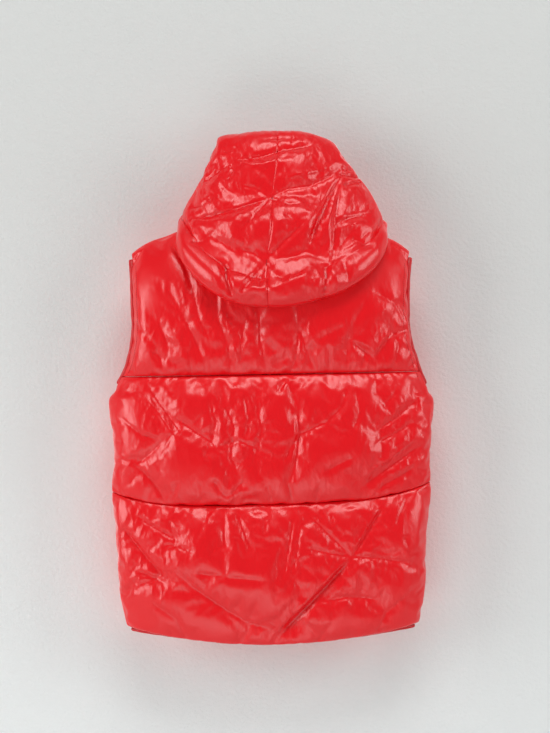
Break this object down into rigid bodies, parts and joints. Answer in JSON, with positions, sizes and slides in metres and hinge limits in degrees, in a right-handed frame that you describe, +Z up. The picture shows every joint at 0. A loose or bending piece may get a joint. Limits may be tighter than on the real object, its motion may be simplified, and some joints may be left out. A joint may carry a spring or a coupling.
{
  "type": "hooded puffer vest on hanger",
  "caption": "Hooded padded vest with wide level baffles, piped armholes and hem and a front zip, hanging on a bent wire hanger.",
  "frame": {"origin": "the inside of the top of the hanger's hook, where a nail, peg or rail holds it", "axes": "+Z up; -Y out of the vest's back, which faces the viewer; +Y out of its zipped front, towards the wall; +X to the viewer's right, which is the wearer's right"},
  "size_m": [0.5318, 0.1709, 0.8489],
  "materials": {
    "shell": "glossy wet-look coated nylon",
    "piping": "matt woven binding",
    "zip_tape": "woven polyester tape",
    "zip_teeth": "moulded, satin",
    "zip_metal": "dark, satin",
    "coated_wire": "black plastic coating over steel wire, satin"
  },
  "bodies": {
    "vest": {"back_upper": "shell", "back_middle": "shell", "back_lower": "shell", "front_left_upper": "shell", "front_left_middle": "shell", "front_left_lower": "shell", "front_right_upper": "shell", "front_right_middle": "shell", "front_right_lower": "shell", "hood_left": "shell", "hood_right": "shell", "armhole_binding_left": "piping", "armhole_binding_right": "piping", "hem_binding": "piping", "zip_tape_left": "zip_tape", "zip_tape_right": "zip_tape", "zip_chain": "zip_teeth", "zip_box": "zip_teeth", "zip_slider": "zip_metal", "hanger": "coated_wire"},
    "pull": {"zip_pull": "zip_metal"}
  },
  "joints": [
    {"name": "zip_pull_hinge", "type": "hinge", "parent": "vest", "child": "pull", "pos_m": [-0.014, 0.03335, -0.22], "axis": [1, 0, 0], "range_deg": [0, 165]}
  ]
}
